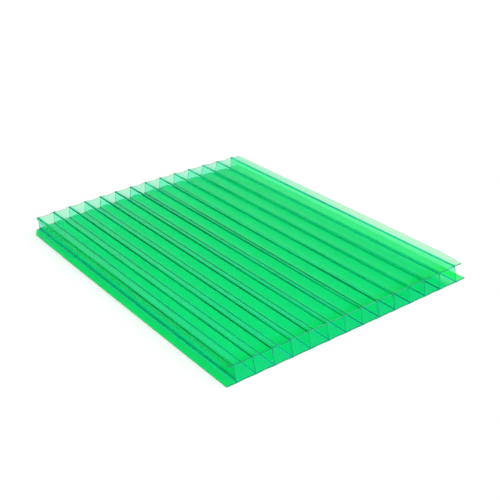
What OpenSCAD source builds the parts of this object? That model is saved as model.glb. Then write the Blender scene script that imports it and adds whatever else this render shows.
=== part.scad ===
// Twin-wall polycarbonate sheet, cut from wider stock.
// Two thin skins are joined by upright ribs, and the flutes between them run the whole length.
// The sheet lies flat: flutes along Y, cut ends facing -Y and +Y, underside at z = 0.
// The origin is at the middle of the underside. Lengths are in millimetres.

/* [Sheet] */
// Length along the flutes, from the front cut to the furthest point of the back cut
sheet_length = 210; // [60:1:600]
// Thickness over both skins, measured at the ribs
sheet_thickness = 10; // [6:0.5:16]
// Number of whole flutes, from the first rib to the last
flute_count = 13; // [3:1:20]

/* [Ribs] */
// Distance from the middle of one rib to the middle of the next
rib_pitch = 11; // [10:0.5:16]
// Thickness of a rib
rib_wall = 0.45; // [0.3:0.05:1]
// Radius of the fillet where a rib joins a skin
fillet_radius = 0.4; // [0.1:0.05:1]

/* [Skins] */
// Thickness of the upper skin
upper_skin = 0.5; // [0.3:0.05:1]
// Thickness of the lower skin
lower_skin = 0.5; // [0.3:0.05:1]
// How far a skin dips midway between two ribs
skin_sag = 0.3; // [0.05:0.05:0.5]
// Width of the level strip of skin over each rib
land_width = 1; // [0.6:0.1:2]

/* [Sides] */
// Reach of the upper skin to the left of the first rib's middle
left_upper_lip = 2.3; // [1:0.1:8]
// Reach of the lower skin to the left of the first rib's middle
left_lower_lip = 5.2; // [3:0.1:8]
// Reach of the upper skin to the right of the last rib's middle
right_upper_lip = 5; // [1:0.1:8]
// Reach of the lower skin to the right of the last rib's middle
right_lower_lip = 7.3; // [3:0.1:8]

/* [Cut ends] */
// How much further the underside reaches than the top at the front cut
front_cut_lean = 1; // [0:0.1:4]
// How much further the underside reaches than the top at the back cut
back_cut_lean = 3.6; // [0:0.1:6]
// How much further the back cut reaches at its middle than at the outer ribs
back_cut_bow = 2.8; // [0.5:0.1:5]
// Reach of the left lower lip that is left at the back cut end, from the first rib's middle
snipped_reach = 2.6; // [0.8:0.1:2.9]
// Length of the snip along that lip
snip_length = 6.5; // [1:0.5:30]

/* [Hidden] */

// Facets of a full circle: the skins' shallow arcs, and the fillets
sag_facets = 240;
fillet_facets = 24;
// Facets of a full circle of the back cut's wide arc
cut_facets = 1440;
// Overrun that lets a cut pass right through
overrun = 1;

ribs_span = flute_count * rib_pitch;
left_reach = max(left_upper_lip, left_lower_lip);
right_reach = max(right_upper_lip, right_lower_lip);
first_rib_x = (left_reach - right_reach - ribs_span) / 2;
last_rib_x = first_rib_x + ribs_span;
flute_width = rib_pitch - rib_wall;
saw_width = left_reach + ribs_span + right_reach + 2 * overrun;

// A dipped skin is an arc whose chord spans one level strip to the next
sag_chord = rib_pitch - land_width;
sag_radius = (pow(sag_chord / 2, 2) + pow(skin_sag, 2)) / (2 * skin_sag);

// The back cut follows a leaning cylinder, so at every height it is the same shallow arc
mid_x = (first_rib_x + last_rib_x) / 2;
back_angle = atan(back_cut_lean / sheet_thickness);
cut_rise = back_cut_bow * cos(back_angle);
cut_radius = (pow(ribs_span / 2, 2) + pow(cut_rise, 2)) / (2 * cut_rise);
cut_centre_y = sheet_length / 2 - cut_radius / cos(back_angle);
cut_height = 2 * (cut_radius * tan(back_angle) + sheet_thickness + overrun);

function flute_middle(index) = first_rib_x + (index + 0.5) * rib_pitch;
function front_cut_y(z) = front_cut_lean * z / sheet_thickness - sheet_length / 2;
function back_cut_y(x) =
    cut_centre_y + sqrt(pow(cut_radius, 2) - pow(x - mid_x, 2)) / cos(back_angle);

// Circles that touch a skin midway between two ribs: grow = 0 follows its outer face,
// and grow = the skin's thickness follows its inner face
module upper_arc(grow) {
    translate([0, sheet_thickness - skin_sag + sag_radius])
        circle(r = sag_radius + grow, $fn = sag_facets);
}

module lower_arc(grow) {
    translate([0, skin_sag - sag_radius])
        circle(r = sag_radius + grow, $fn = sag_facets);
}

// Section of one flute, with its corners rounded
module flute_section() {
    offset(r = fillet_radius, $fn = fillet_facets)
        offset(delta = -fillet_radius)
            difference() {
                translate([-flute_width / 2, lower_skin])
                    square([flute_width, sheet_thickness - lower_skin - upper_skin]);
                upper_arc(upper_skin);
                lower_arc(lower_skin);
            }
}

// Outline of the section, with the lips' different reaches, before the flutes are taken out
module section_blank() {
    lip_level = sheet_thickness / 2;
    polygon([
        [first_rib_x - left_lower_lip, 0],
        [last_rib_x + right_lower_lip, 0],
        [last_rib_x + right_lower_lip, lip_level],
        [last_rib_x + right_upper_lip, lip_level],
        [last_rib_x + right_upper_lip, sheet_thickness],
        [first_rib_x - left_upper_lip, sheet_thickness],
        [first_rib_x - left_upper_lip, lip_level],
        [first_rib_x - left_lower_lip, lip_level]
    ]);
}

// Section of the whole sheet. The flutes before the first rib and after the last were sawn
// through lengthwise, so each leaves an upper and a lower lip.
module sheet_section() {
    difference() {
        section_blank();
        for (index = [-1 : flute_count])
            translate([flute_middle(index), 0]) {
                flute_section();
                upper_arc(0);
                lower_arc(0);
            }
    }
}

// Wedge that takes the back corner off the left lower lip, between a point on the back cut
// and a point on the lip's edge
module corner_snip() {
    snip_x = first_rib_x - snipped_reach;
    edge_x = first_rib_x - left_lower_lip;
    snip_y = back_cut_y(snip_x);
    edge_y = back_cut_y(edge_x) - snip_length;
    slope = (snip_y - edge_y) / (snip_x - edge_x);
    translate([0, 0, -overrun])
        linear_extrude(sheet_thickness / 2)
            polygon([
                [edge_x - overrun, snip_y + overrun],
                [snip_x + overrun / slope, snip_y + overrun],
                [edge_x - overrun, edge_y - overrun * slope]
            ]);
}

// What the flat, leaning front cut takes off the stock
module front_waste() {
    low = -overrun;
    high = sheet_thickness + overrun;
    far = -sheet_length / 2 - 2 * overrun;
    rotate([90, 0, 90])
        linear_extrude(saw_width, center = true)
            polygon([[far, low], [front_cut_y(low), low], [front_cut_y(high), high], [far, high]]);
}

// What the bowed, leaning back cut takes off the stock
module back_waste() {
    near = back_cut_y(mid_x + saw_width / 2 + abs(mid_x)) - back_cut_lean - overrun;
    far = sheet_length / 2 + 2 * overrun;
    difference() {
        translate([-saw_width / 2, near, -overrun])
            cube([saw_width, far - near, sheet_thickness + 2 * overrun]);
        translate([mid_x, cut_centre_y, 0])
            rotate([back_angle, 0, 0])
                cylinder(r = cut_radius, h = cut_height, center = true, $fn = cut_facets);
    }
}

module twin_wall_sheet() {
    stock_length = sheet_length + 2 * overrun;
    color([0.12, 0.85, 0.46, 0.6])
        difference() {
            translate([0, stock_length / 2, 0])
                rotate([90, 0, 0])
                    linear_extrude(stock_length)
                        sheet_section();
            front_waste();
            back_waste();
            corner_snip();
        }
}

twin_wall_sheet();
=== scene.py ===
"""Twin-wall polycarbonate sheet on a pale floor, lit by a soft sky.

The sheet is one swept mesh with the section and the cuts of the solid. It adds fine relief: dips that
change slowly along the flutes, ribs that lean, wavy lips and rough sawn faces.
Lengths are in millimetres, and heights are measured from the underside.
"""
import math

import bpy
import numpy as np
from mathutils import Matrix, Vector
from mathutils.geometry import tessellate_polygon


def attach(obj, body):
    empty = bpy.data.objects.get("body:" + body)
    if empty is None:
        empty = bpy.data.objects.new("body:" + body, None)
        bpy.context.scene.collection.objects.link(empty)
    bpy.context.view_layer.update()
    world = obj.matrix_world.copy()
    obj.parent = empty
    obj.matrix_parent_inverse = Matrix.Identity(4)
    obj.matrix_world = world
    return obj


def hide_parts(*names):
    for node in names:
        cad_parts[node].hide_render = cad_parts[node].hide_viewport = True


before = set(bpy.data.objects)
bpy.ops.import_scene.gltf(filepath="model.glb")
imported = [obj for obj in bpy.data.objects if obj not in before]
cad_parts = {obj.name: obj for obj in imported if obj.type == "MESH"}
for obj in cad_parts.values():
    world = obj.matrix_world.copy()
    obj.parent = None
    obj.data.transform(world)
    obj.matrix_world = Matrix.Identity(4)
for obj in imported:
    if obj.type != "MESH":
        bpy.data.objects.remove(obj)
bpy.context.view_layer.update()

MM = 0.001

# Sizes of the sheet, as in the solid
LENGTH = 210.0
THICK = 10.0
FLUTES = 13
PITCH = 11.0
RIB_WALL = 0.45
SKIN = 0.5
LAND = 1.0
LEFT_UPPER, LEFT_LOWER = 2.3, 5.2
RIGHT_UPPER, RIGHT_LOWER = 5.0, 7.3
BOW, BACK_LEAN, FRONT_LEAN = 2.8, 3.6, 1.0
SNIP_REACH, SNIP_LENGTH = 2.6, 6.5

SPAN = FLUTES * PITCH
FIRST_RIB = (LEFT_LOWER - RIGHT_LOWER - SPAN) / 2
LAST_RIB = FIRST_RIB + SPAN
MID_X = (FIRST_RIB + LAST_RIB) / 2
CUT_RADIUS = ((SPAN / 2) ** 2 + BOW ** 2) / (2 * BOW)
RIBS = [FIRST_RIB + PITCH * k for k in range(FLUTES + 1)]
FRONT_CUT = -LENGTH / 2

# Edge of each lip: left or right, upper or lower
LIPS = {"lu": FIRST_RIB - LEFT_UPPER, "ll": FIRST_RIB - LEFT_LOWER,
        "ru": LAST_RIB + RIGHT_UPPER, "rl": LAST_RIB + RIGHT_LOWER}

# Relief: wider fillets than the solid's, and eased sawn edges
FILLET = 0.6
EASE = 0.06

# The skins dip less at the front cut than at the back, and each flute differs a little
SAG_FRONT, SAG_BACK, SAG_GROWTH = 0.22, 0.75, 1.5
SAG_VARIES = 0.16
SOFT_DIP = 0.02

# The ribs don't stand quite upright: how far each foot lies to the right of its top
FOOT_SHIFT = [0.9, 0.8, 0.7, 0.35, 0.3, 0.7, 0.5, 0.5, 0.5, 0.3, 0.0, -0.4, -0.5, 0.9]
SHIFT_AT = [LIPS["ll"]] + RIBS + [LIPS["rl"]]

# Lean and bulge of the ribs' walls along the flutes
RIB_LEAN, RIB_BULGE = 0.05, 0.06

# Left upper lip: torn away towards the back cut. Right upper lip: wider behind the front corner.
TORN, TORN_LENGTH = 1.2, 10
WIDER, WIDER_LENGTH = 1.4, 16

# The saw leaves both cuts uneven, and burrs hang from their edges
CUT_UNEVEN, BURR = 0.05, 0.035
# Pale specks on the upper skin's cut, partly a painted highlight along its edge: reach from a cell's
# middle, and share of triangles
SPECK_HALF_WIDTH, SPECK_SHARE = 3.6, 0.4
SHARP_ANGLE = 38

# Points of the mesh: along a fillet, along a rib's wall, and across one cell from rib to rib
FILLET_STEPS = 4
WALL_POINTS = 7
HALF_CELL = [0.0, 0.22, 0.45, 0.7, 1.0, 1.4, 1.9, 2.5, 3.2, 4.0, 4.8]
CELL = np.array(HALF_CELL + [PITCH / 2] + [PITCH - v for v in HALF_CELL[::-1]])[:-1]
LEAST_STEP = 0.12

# Stations along the sheet, as a share of the way from the front cut to the back cut
NEAR_CUT = np.array([0.0, 0.12, 0.3, 0.6, 1.2, 2.5, 5.0]) / LENGTH
SHARES = np.concatenate([NEAR_CUT, np.linspace(0.045, 0.93, 26), 0.957 + np.array([0, 0.012]),
                         1 - NEAR_CUT[::-1]])

# Tints of the plastic, most of them painted light and shade. The lower skin is tinted deeper as painted
# shade for the sheet's green shadow on the floor under it, most of all at the left lip and the front cut,
# and paler near the last rib as painted light. The first rib's wall and foot and the fillets get painted
# shade. The upper skin's cut gets pale specks, partly a painted highlight.
TINTS = {
    "plain": (1.0, 1.0, 0.73),
    # painted shade: the deeper lower skin stands in for the sheet's green shadow on the floor under it
    "low": (0.1, 0.88, 0.56),
    # painted shade near the front cut, for less light coming in from the front
    "front": (0.03, 0.82, 0.36),
    # painted shade on the left lower lip, for less light from the left
    "lip": (0.02, 0.84, 0.27),
    # painted light: the lower skin is paler near the last rib, as if lit from the right
    "right": (0.7, 1.0, 0.82),
    # painted shade near the front cut on the right
    "corner": (0.24, 0.97, 0.4),
    "wall": (0.6, 1.0, 0.87),
    # painted shade on the first rib's wall, for less light from the left and front
    "first_wall": (0.3, 0.85, 0.6),
    "last_wall": (0.35, 1.0, 0.6),
    # painted shade at the foot of the first rib
    "first_foot_shade": (0.0, 0.42, 0.38),
    # painted shade in the fillets under the upper skin and over the feet of the ribs
    "fillet": (0.04, 0.58, 0.5),
    # painted shade, lighter, in the fillets over the feet of the ribs
    "foot_fillet_shade": (0.05, 0.8, 0.8),
    "sawn": (0.01, 0.33, 0.22),
    # pale specks on the upper skin's cut, partly a painted highlight along its edge
    "specks_and_highlight": (0.12, 0.7, 0.48),
}
IOR = 1.22
ABSORPTION, DENSITY = (0.0, 0.995, 0.9, 1), 800.0
GLOSSY_ROUGHNESS, SAWN_ROUGHNESS = 0.03, 0.6
CLEAR, SAWN_CLEAR = 1.0, 0.2

# Floor, in metres: grid lines, and a small gap under the sheet
FLOOR_LINES = [-14.0, -3.0, -0.5, 0.5, 3.0, 14.0]
FLOOR_Z = -0.00004
FLOOR_SHADES = (0.975, 0.985)
WHITE_SHARE = 0.5

# Sky: even, but dark where the upper skin mirrors it and dimmer on the left, with a bright patch
# overhead on the right and a low glow all round
SKY_BRIGHT = 0.82
MIRRORED, MIRRORED_FADE = (0.47, 0.72, 0.52), (0.35, 0.9)
DIM_SIDE, DIM_SHARE = (-0.8, -0.6, 0.1), 0.6
KEY_FROM, KEY_START, KEY_GAIN = (1.0, -0.35, 2.4), 0.66, 2.0
LOW_GLOW, GLOW_HEIGHTS = 0.32, (0.34, 0.56)

# Camera: its turns in degrees, as fitted to the rib ends
CAMERA_AT = (-270.50, -402.18, 253.84)
AZIMUTH, ELEVATION, ROLL = -35.176, 27.503, -2.566
FOCAL_PIXELS, IMAGE_PIXELS, SENSOR = 958.765, 500, 36.0

rng = np.random.default_rng(11)


class Waves:
    """A smooth random function of one value: a few sines of different length."""

    def __init__(self, shortest, longest, count=6):
        self.length = np.geomspace(shortest, longest, count)
        self.phase = rng.uniform(0, 2 * math.pi, count)
        self.gain = self.length / self.length.max()

    def __call__(self, t):
        t = np.asarray(t, float)[..., None]
        total = (self.gain * np.sin(2 * math.pi * t / self.length + self.phase)).sum(-1)
        return total / np.sqrt((self.gain ** 2).sum() / 2) / 2


wave_up = [Waves(30, 190) for _ in range(FLUTES + 2)]
wave_low = [Waves(40, 190) for _ in range(FLUTES + 2)]
wave_rib = [Waves(50, 300, 4) for _ in range(FLUTES + 1)]
wave_edge = {side: Waves(1.5, 40, 8) for side in ("lu", "ll", "ru", "rl")}


def back_y(x, z):
    """Where the bowed and leaning back cut crosses x at a height."""
    bow = CUT_RADIUS - np.sqrt(CUT_RADIUS ** 2 - (x - MID_X) ** 2)
    return LENGTH / 2 - bow - BACK_LEAN * z / THICK


def offset_in_cell(x):
    """Signed distance from the middle of the cell that x lies in."""
    return (x - FIRST_RIB) % PITCH - PITCH / 2


def dip(offset):
    """Share of the sag at a distance from the middle of a flute, rounded off over the ribs."""
    q = 1 - (2 * offset / (PITCH - LAND)) ** 2
    return 0.5 * (q + np.sqrt(q * q + SOFT_DIP))


def sag_at(x, share, waves):
    """Depth of the dip at x, with a slow change along every flute."""
    cell = np.clip(np.floor((x - FIRST_RIB) / PITCH).astype(int) + 1, 0, FLUTES + 1)
    along = share * LENGTH
    vary = np.array([w(along) for w in waves])[cell]
    depth = SAG_FRONT + (SAG_BACK - SAG_FRONT) * share ** SAG_GROWTH
    return depth * (1 + SAG_VARIES * vary) * dip(offset_in_cell(x))


def lower(x, share, inward):
    """Height of a face of the lower skin: its outer face, or one further inward."""
    return inward + sag_at(x, share, wave_low)


def upper(x, share, inward):
    """Height of a face of the upper skin: its outer face, or one further inward."""
    return THICK - inward - sag_at(x, share, wave_up)


def skin_places(left, right):
    """Sorted x values from a left edge to a right edge, the same in every cell."""
    first = FIRST_RIB - PITCH
    xs = (first + np.arange(FLUTES + 3)[:, None] * PITCH + CELL[None, :]).ravel()
    xs = xs[(xs > left + LEAST_STEP) & (xs < right - LEAST_STEP)]
    return np.concatenate([[left], xs, [right]])


def lip_edges(share):
    """Edges of the four lips at a share of the length: sawn by hand, so slightly wavy."""
    y = share * LENGTH
    left_lower = LIPS["ll"]
    snip_from = LENGTH - SNIP_LENGTH
    if y > snip_from:
        left_lower += (LEFT_LOWER - SNIP_REACH) * (y - snip_from) / SNIP_LENGTH
    torn = TORN * max(0.0, 1 - (LENGTH - y) / TORN_LENGTH) ** 1.5
    wider = WIDER * min(1.0, y / WIDER_LENGTH) ** 0.8
    return {"lu": LIPS["lu"] + torn + 0.07 * wave_edge["lu"](y) + 0.05,
            "ll": left_lower + 0.35 + 0.5 * share ** 3 + 0.05 * wave_edge["ll"](y),
            "ru": LIPS["ru"] + wider - 0.06 * wave_edge["ru"](y) - 0.05,
            "rl": LIPS["rl"] - 0.05 * wave_edge["rl"](y) - 0.04}


def rib_face(wall, side, share):
    """Face of a rib from foot to top, with a fillet at each end that runs out to a side: 1 is right."""
    start = wall + side * FILLET
    base = lower(np.array([start]), share, SKIN)[0] + FILLET
    roof = upper(np.array([start]), share, SKIN)[0] - FILLET
    turn = np.linspace(0, math.pi / 2, FILLET_STEPS + 1)[1:]
    bend = start - side * FILLET * np.sin(turn)
    heights = np.linspace(base, roof, WALL_POINTS)[1:-1]
    rise = FILLET * np.cos(turn)
    x = np.concatenate([bend, np.full(len(heights), wall), bend[::-1]])
    z = np.concatenate([base - rise, heights, (roof + rise)[::-1]])
    return np.stack([x, z], 1)


def outer_loop(share):
    """Outline of the section: along the underside, up the right side, back over the top."""
    edge = lip_edges(share)
    first_wall, last_wall = FIRST_RIB - RIB_WALL / 2, LAST_RIB + RIB_WALL / 2
    first_side, last_side = FIRST_RIB - RIB_WALL, LAST_RIB + RIB_WALL

    def face(skin, left, right, inward, ease_left, ease_right):
        """Face of a skin from left to right. The points of a lip move with its edge, which is eased."""
        names = ("ll", "rl") if skin is lower else ("lu", "ru")
        xs = skin_places(left, right)
        places = xs.copy()
        for name, side, beyond in ((names[0], first_side, xs < first_side),
                                   (names[1], last_side, xs > last_side)):
            stretch = (edge[name] - side) / (LIPS[name] - side)
            places[beyond] = side + (xs[beyond] - side) * stretch
        zs = skin(places, share, inward)
        zs[0] += ease_left
        zs[-1] += ease_right
        return np.stack([places, zs], 1)

    return np.concatenate([
        face(lower, LIPS["ll"], LIPS["rl"], 0.0, EASE, EASE),
        face(lower, last_wall + FILLET, LIPS["rl"], SKIN, 0.0, -EASE)[::-1],
        rib_face(last_wall, 1, share),
        face(upper, last_wall + FILLET, LIPS["ru"], SKIN, 0.0, EASE),
        face(upper, LIPS["lu"], LIPS["ru"], 0.0, -EASE, -EASE)[::-1],
        face(upper, LIPS["lu"], first_wall - FILLET, SKIN, EASE, 0.0),
        rib_face(first_wall, -1, share)[::-1],
        face(lower, LIPS["ll"], first_wall - FILLET, SKIN, -EASE, 0.0)[::-1],
    ])


def bent(face, rib, share):
    """Gives the straight part of a rib's face a slight lean and bulge."""
    wall = face[FILLET_STEPS - 1:1 - FILLET_STEPS]
    up = (wall[:, 1] - THICK / 2) / (THICK / 2)
    along = share * LENGTH
    lean = RIB_LEAN * wave_rib[rib](along)
    bulge = RIB_BULGE * wave_rib[rib](along + 1000)
    wall[:, 0] += lean * up * (1 - up * up) * 2 + bulge * (1 - up * up)
    return face


def flute_loop(index, share):
    """Outline of one flute: over the lower skin, up its right rib, back under the upper skin."""
    middle = FIRST_RIB + (index + 0.5) * PITCH
    half = (PITCH - RIB_WALL) / 2
    across = CELL - PITCH / 2
    across = across[np.abs(across) < half - FILLET - 0.05]
    xs = middle + np.concatenate([[FILLET - half], across, [half - FILLET]])
    return np.concatenate([
        np.stack([xs, lower(xs, share, SKIN)], 1),
        bent(rib_face(middle + half, -1, share), index + 1, share),
        np.stack([xs, upper(xs, share, SKIN)], 1)[::-1],
        bent(rib_face(middle - half, 1, share), index, share)[::-1],
    ])


def ring_points(share, loops):
    """Points of one station: the section, with its ribs leaning, set between the two cuts."""
    x, z = np.concatenate(loops).T
    shifts = np.array([0.0] + FOOT_SHIFT + [0.0])
    shifts[1] *= 1 + share ** 4
    x = x + np.interp(x, SHIFT_AT, shifts) * (1 - z / THICK)
    front = FRONT_CUT + FRONT_LEAN * z / THICK
    return np.stack([x, front + share * (back_y(x, z) - front), z], 1)


def roughen(points):
    """Makes both cuts slightly uneven, and hangs burrs from their edges."""
    last, per_ring = len(points) - 1, points.shape[1]
    for row, sign in ((0, 1), (last, -1)):
        points[row, :, 1] += sign * np.abs(rng.normal(0, CUT_UNEVEN, per_ring))
    for row, grow in ((0, 1.0), (1, 0.5), (last - 1, 0.5), (last, 1.0)):
        rough = rng.normal(0, BURR, (per_ring, 2)) * grow
        points[row, :, 0] += rough[:, 0]
        points[row, :, 2] += rough[:, 1]
    points[:, :, 2] = np.clip(points[:, :, 2], 0.0, THICK)


def swept_faces(rows, starts, sizes):
    """Four-sided faces that join each loop to the same loop of the next station."""
    per_ring = int(starts[-1])
    faces = []
    for row in range(rows - 1):
        here, there = row * per_ring, (row + 1) * per_ring
        for which, (s, n) in enumerate(zip(starts[:-1], sizes)):
            a = s + np.arange(n)
            b = s + (np.arange(n) + 1) % n
            if which == 0:
                a, b = b, a
            faces.append(np.stack([here + a, here + b, there + b, there + a], 1))
    return np.concatenate(faces)


def cut_faces(points, starts, sizes):
    """Triangles that close both cuts, all facing outwards."""
    faces = []
    for row, towards in ((0, -1.0), (len(points) - 1, 1.0)):
        plane = points[row]
        loops = [[Vector((p[0], p[2], 0)) for p in plane[s:s + n]] for s, n in zip(starts[:-1], sizes)]
        tris = np.array(tessellate_polygon(loops))
        a, b, c = (plane[tris[:, i]] for i in range(3))
        wrong = np.cross(b - a, c - a)[:, 1] * towards < 0
        tris[wrong] = tris[wrong][:, ::-1]
        faces.append(tris + row * plane.shape[0])
    return np.concatenate(faces)


def specks_and_highlight_faces(middles):
    """Which triangles of the cuts are pale specks, partly a painted highlight along the edge: some of
    those of the upper skin, away from the ribs.
    """
    top = middles[:, 2] > THICK - SKIN - 0.5
    away = np.abs(offset_in_cell(middles[:, 0])) < SPECK_HALF_WIDTH
    return top & away & (rng.random(len(middles)) < SPECK_SHARE)


def rounded(middles):
    """Which faces belong to the fillets under the upper skin and over the feet of the ribs, which get
    painted shade.
    """
    x, z = middles[:, 0], middles[:, 2]
    rib = np.clip(np.round((x - FIRST_RIB) / PITCH), 0, FLUTES).astype(int)
    rib_x = FIRST_RIB + PITCH * rib + np.array(FOOT_SHIFT)[rib] * (1 - z / THICK)
    under_top = (z > THICK - SKIN - FILLET - 0.4) & (z < THICK - SKIN / 2)
    over_foot = (z < SKIN + FILLET + 0.3) & (z > SKIN / 2)
    return (np.abs(x - rib_x) < RIB_WALL / 2 + FILLET) & (under_top | over_foot)


def sharp_by_angle(mesh, limit):
    """Marks the edges where two faces meet at more than the limit."""
    normals = np.empty(len(mesh.polygons) * 3)
    mesh.polygons.foreach_get("normal", normals)
    normals = normals.reshape(-1, 3)
    edge_of = np.empty(len(mesh.loops), int)
    mesh.loops.foreach_get("edge_index", edge_of)
    total = np.empty(len(mesh.polygons), int)
    mesh.polygons.foreach_get("loop_total", total)
    face_of = np.repeat(np.arange(len(total)), total)
    order = np.argsort(edge_of, kind="stable")
    e, f = edge_of[order], face_of[order]
    pair = np.flatnonzero(e[1:] == e[:-1])
    dot = (normals[f[pair]] * normals[f[pair + 1]]).sum(1)
    sharp = np.zeros(len(mesh.edges), bool)
    sharp[e[pair[dot < math.cos(limit)]]] = True
    mesh.attributes.new("sharp_edge", "BOOLEAN", "EDGE").data.foreach_set("value", sharp)


def sheet_mesh():
    """Mesh of the sheet: every loop is swept along the stations, and both cuts are closed."""
    rings = [[outer_loop(share)] + [flute_loop(k, share) for k in range(FLUTES)] for share in SHARES]
    sizes = [len(loop) for loop in rings[0]]
    starts = np.concatenate([[0], np.cumsum(sizes)])
    points = np.array([ring_points(share, loops) for share, loops in zip(SHARES, rings)])
    roughen(points)
    walls = swept_faces(len(SHARES), starts, sizes)
    caps = cut_faces(points, starts, sizes)
    points = points.reshape(-1, 3)

    mesh = bpy.data.meshes.new("fluted_sheet")
    counts = np.concatenate([np.full(len(walls), 4), np.full(len(caps), 3)])
    corners = np.concatenate([walls.ravel(), caps.ravel()])
    mesh.vertices.add(len(points))
    mesh.vertices.foreach_set("co", (points * MM).ravel())
    mesh.loops.add(len(corners))
    mesh.loops.foreach_set("vertex_index", corners)
    mesh.polygons.add(len(counts))
    mesh.polygons.foreach_set("loop_start", np.concatenate([[0], np.cumsum(counts)[:-1]]))
    mesh.polygons.foreach_set("loop_total", counts)
    mesh.update(calc_edges=True)
    mesh.validate()

    on_walls, on_caps = np.zeros(len(walls), bool), np.zeros(len(caps), bool)
    sawn = np.concatenate([on_walls, ~on_caps])
    # Pale specks on the upper cut are partly a painted highlight; the fillets get painted shade
    marks = {"specks_and_highlight": np.concatenate([on_walls, specks_and_highlight_faces(points[caps].mean(1))]),
             # fillets that get painted shade
             "fillet": np.concatenate([rounded(points[walls].mean(1)), on_caps]),
             "sawn": sawn}
    for name, marked in marks.items():
        attribute = mesh.attributes.new(name, "FLOAT", "FACE")
        attribute.data.foreach_set("value", marked.astype(np.float32))
    mesh.polygons.foreach_set("use_smooth", ~sawn)
    sharp_by_angle(mesh, math.radians(SHARP_ANGLE))
    return mesh


class Tree:
    """Short forms for the nodes of one material or world."""

    def __init__(self, owner):
        owner.use_nodes = True
        self.nodes, self.link = owner.node_tree.nodes, owner.node_tree.links.new
        self.nodes.clear()

    def add(self, kind, values=None, **settings):
        """Adds a node, with values for its sockets and settings of its own."""
        node = self.nodes.new("ShaderNode" + kind)
        for name, value in settings.items():
            setattr(node, name, value)
        for name, value in (values or {}).items():
            node.inputs[name].default_value = value
        return node

    def join(self, operation, a, b):
        """Sum, product or maximum of two values."""
        node = self.add("Math", operation=operation)
        self.link(a, node.inputs[0])
        self.link(b, node.inputs[1])
        return node.outputs["Value"]

    def ramp(self, value, start, end, low=0.0, high=1.0, kind="LINEAR"):
        """Value that goes from low to high while the given one goes from start to end."""
        ends = {"From Min": start, "From Max": end, "To Min": low, "To Max": high}
        node = self.add("MapRange", ends, interpolation_type=kind)
        self.link(value, node.inputs["Value"])
        return node.outputs["Result"]

    def mark(self, name):
        """Value of one of the mesh's own attributes."""
        return self.add("Attribute", attribute_type="GEOMETRY", attribute_name=name).outputs["Fac"]

    def mix(self, share, colour, other):
        """Colour that turns into another one by a share."""
        node = self.add("Mix", data_type="RGBA")
        self.link(share, node.inputs["Factor"])
        a, b = (next(i for i in node.inputs if i.name == name and i.type == "RGBA") for name in "AB")
        self.link(colour, a)
        b.default_value = other
        return next(o for o in node.outputs if o.type == "RGBA")


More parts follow.
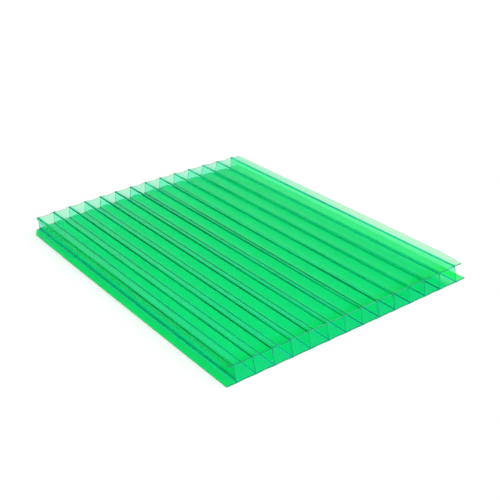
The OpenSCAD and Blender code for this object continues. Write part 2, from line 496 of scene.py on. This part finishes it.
def polycarbonate():
    """Clear green plastic: glossy extruded skins, matt sawn ends, tint that deepens with thickness; the
    base colour paints shade and light by place.
    """
    material = bpy.data.materials.new("polycarbonate")
    tree = Tree(material)
    output = tree.add("OutputMaterial")
    shader = tree.add("BsdfPrincipled", {"IOR": IOR})
    # Marks of the mesh: sawn faces, pale specks that are partly a painted highlight, and fillets that get
    # painted shade
    sawn, specks_and_highlight, fillet = (tree.mark(name) for name in ("sawn", "specks_and_highlight", "fillet"))
    tree.link(tree.ramp(sawn, 0.0, 1.0, GLOSSY_ROUGHNESS, SAWN_ROUGHNESS), shader.inputs["Roughness"])
    tree.link(tree.ramp(sawn, 0.0, 1.0, CLEAR, SAWN_CLEAR), shader.inputs["Transmission Weight"])

    place = tree.add("TexCoord").outputs["Object"]
    parts = tree.add("SeparateXYZ")
    tree.link(place, parts.inputs["Vector"])

    def between(axis, none, full):
        """Share that grows from 0 to 1 between two places along an axis."""
        return tree.ramp(parts.outputs[axis], none * MM, full * MM)

    def product(a, b):
        return tree.join("MULTIPLY", a, b)

    # Lower skin: it gets painted shade for the sheet's green shadow on the floor under it
    low = between("Z", 1.7, 1.0)
    # At the first rib and left of it: painted shade on the left lip and on the first rib's wall and foot
    left = between("X", FIRST_RIB + 1.8, FIRST_RIB + 1.4)
    # Near the last rib: the lower skin gets painted light there
    right = between("X", LAST_RIB - 6.0, LAST_RIB + 5.0)
    # Near the front cut: the lower skin gets painted shade there
    front = between("Y", FRONT_CUT + 20.0, FRONT_CUT + 11.5)
    wall = product(between("Z", 1.0, 1.7), between("Z", 9.2, 8.4))
    # Low on the ribs: the first rib's foot gets painted shade there
    foot = product(between("Z", 1.0, 1.5), between("Z", 3.6, 2.2))
    low_right = product(low, right)
    shares = {
        # painted shade on the lower skin
        "low": low,
        # painted shade on the lower skin near the front cut
        "front": product(low, front),
        # painted shade on the left lower lip
        "lip": product(low, left),
        # painted light on the lower skin near the last rib
        "right": low_right,
        # painted shade on the lower skin near the front cut on the right
        "corner": product(low_right, front),
        "wall": wall,
        # painted shade on the first rib's wall
        "first_wall": product(wall, left),
        "last_wall": product(wall, between("X", LAST_RIB - 2.0, LAST_RIB - 1.0)),
        # painted shade at the foot of the first rib
        "first_foot_shade": product(left, foot),
        # painted shade in the fillets
        "fillet": fillet,
        # lighter painted shade in the fillets over the feet of the ribs
        "foot_fillet_shade": product(fillet, low),
        "sawn": sawn,
        # pale specks, partly a painted highlight, on the upper skin's cut
        "specks_and_highlight": specks_and_highlight,
    }
    plain = tree.add("RGB")
    plain.outputs["Color"].default_value = (*TINTS["plain"], 1.0)
    colour = plain.outputs["Color"]
    for name, share in shares.items():
        colour = tree.mix(share, colour, (*TINTS[name], 1.0))
    tree.link(colour, shader.inputs["Base Color"])

    # Faint lines drawn along the extrusion
    along = tree.add("Mapping", {"Scale": (1100, 12, 1100)})
    lines = tree.add("TexNoise", {"Scale": 1.0, "Detail": 3.0})
    bump = tree.add("Bump", {"Strength": 0.05, "Distance": 0.00002})
    tree.link(place, along.inputs["Vector"])
    tree.link(along.outputs["Vector"], lines.inputs["Vector"])
    tree.link(lines.outputs["Fac"], bump.inputs["Height"])
    tree.link(bump.outputs["Normal"], shader.inputs["Normal"])

    depth = tree.add("VolumeAbsorption", {"Color": ABSORPTION, "Density": DENSITY})
    tree.link(shader.outputs["BSDF"], output.inputs["Surface"])
    tree.link(depth.outputs["Volume"], output.inputs["Volume"])
    return material


def floor_material():
    """Matt white floor. The camera sees it a little lighter, also by way of glossy and clear faces."""
    material = bpy.data.materials.new("studio_floor")
    tree = Tree(material)
    output = tree.add("OutputMaterial")
    shader = tree.add("BsdfPrincipled", {"Roughness": 0.9, "Specular IOR Level": 0.0})
    noise = tree.add("TexNoise", {"Scale": 30.0})
    shade = tree.ramp(noise.outputs["Fac"], 0.0, 1.0, *FLOOR_SHADES)
    colour = tree.add("CombineColor")
    for channel in ("Red", "Green", "Blue"):
        tree.link(shade, colour.inputs[channel])
    tree.link(colour.outputs["Color"], shader.inputs["Base Color"])

    ray = tree.add("LightPath").outputs
    seen = tree.join("MAXIMUM", ray["Is Camera Ray"], ray["Is Glossy Ray"])
    seen = tree.join("MAXIMUM", seen, ray["Is Transmission Ray"])
    white = tree.add("Emission", {"Strength": 1.0})
    mix = tree.add("MixShader")
    tree.link(tree.ramp(seen, 0.0, 1.0, 0.0, WHITE_SHARE), mix.inputs["Fac"])
    tree.link(shader.outputs["BSDF"], mix.inputs[1])
    tree.link(white.outputs["Emission"], mix.inputs[2])
    tree.link(mix.outputs["Shader"], output.inputs["Surface"])
    return material


def make_floor():
    """Pale floor just under the sheet, finer in the middle."""
    count = len(FLOOR_LINES)
    verts = [(x, y, FLOOR_Z) for y in FLOOR_LINES for x in FLOOR_LINES]
    quads = [(r * count + c, r * count + c + 1, (r + 1) * count + c + 1, (r + 1) * count + c)
             for r in range(count - 1) for c in range(count - 1)]
    mesh = bpy.data.meshes.new("studio_floor")
    mesh.from_pydata(verts, [], quads)
    mesh.materials.append(floor_material())
    floor = bpy.data.objects.new("studio_floor", mesh)
    bpy.context.scene.collection.objects.link(floor)


def make_world():
    """Soft sky, with no lamps."""
    world = bpy.data.worlds.new("studio_sky")
    bpy.context.scene.world = world
    tree = Tree(world)
    place = tree.add("TexCoord").outputs["Generated"]

    def round_about(centre, start, end, outside, inside):
        """Value that changes smoothly from outside to inside a cone round a direction."""
        towards = tree.add("VectorMath", operation="DOT_PRODUCT")
        towards.inputs[1].default_value = Vector(centre).normalized()
        tree.link(place, towards.inputs[0])
        return tree.ramp(towards.outputs["Value"], start, end, outside, inside, "SMOOTHSTEP")

    height = tree.add("SeparateXYZ")
    tree.link(place, height.inputs["Vector"])
    glow = tree.ramp(height.outputs["Z"], *GLOW_HEIGHTS, LOW_GLOW, 0.0, "SMOOTHSTEP")
    even = tree.join("MULTIPLY", round_about(MIRRORED, *MIRRORED_FADE, SKY_BRIGHT, 0.0),
                     round_about(DIM_SIDE, 0.0, 1.0, 1.0, DIM_SHARE))
    key = round_about(KEY_FROM, KEY_START, 1.0, 0.0, KEY_GAIN)
    back = tree.add("Background", {"Color": (1, 1, 1, 1)})
    output = tree.add("OutputWorld")
    tree.link(tree.join("ADD", tree.join("ADD", even, key), glow), back.inputs["Strength"])
    tree.link(back.outputs["Background"], output.inputs["Surface"])


def make_camera():
    """Camera at the photo's viewing angle."""
    a, e, r = (math.radians(v) for v in (AZIMUTH, ELEVATION, ROLL))
    back = Vector((math.sin(a) * math.cos(e), -math.cos(a) * math.cos(e), math.sin(e)))
    right = Vector((math.cos(a), math.sin(a), 0))
    up = back.cross(right)
    right, up = right * math.cos(r) + up * math.sin(r), up * math.cos(r) - right * math.sin(r)
    data = bpy.data.cameras.new("camera")
    data.sensor_width = SENSOR
    data.lens = FOCAL_PIXELS / IMAGE_PIXELS * SENSOR
    data.clip_start, data.clip_end = 0.02, 60
    camera = bpy.data.objects.new("camera", data)
    bpy.context.scene.collection.objects.link(camera)
    spin = Matrix((right, up, back)).transposed().to_4x4()
    camera.matrix_world = Matrix.Translation(Vector(CAMERA_AT) * MM) @ spin
    bpy.context.scene.camera = camera


scene = bpy.context.scene
scene.view_settings.view_transform = "Standard"
scene.cycles.max_bounces = 32
scene.cycles.transmission_bounces = 28
scene.cycles.glossy_bounces = 10
scene.cycles.diffuse_bounces = 5
scene.cycles.blur_glossy = 0.0

make_camera()
make_floor()
make_world()

sheet = bpy.data.objects.new("fluted_sheet", sheet_mesh())
scene.collection.objects.link(sheet)
sheet.data.materials.append(polycarbonate())
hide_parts("twin_wall_sheet")
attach(sheet, "root")
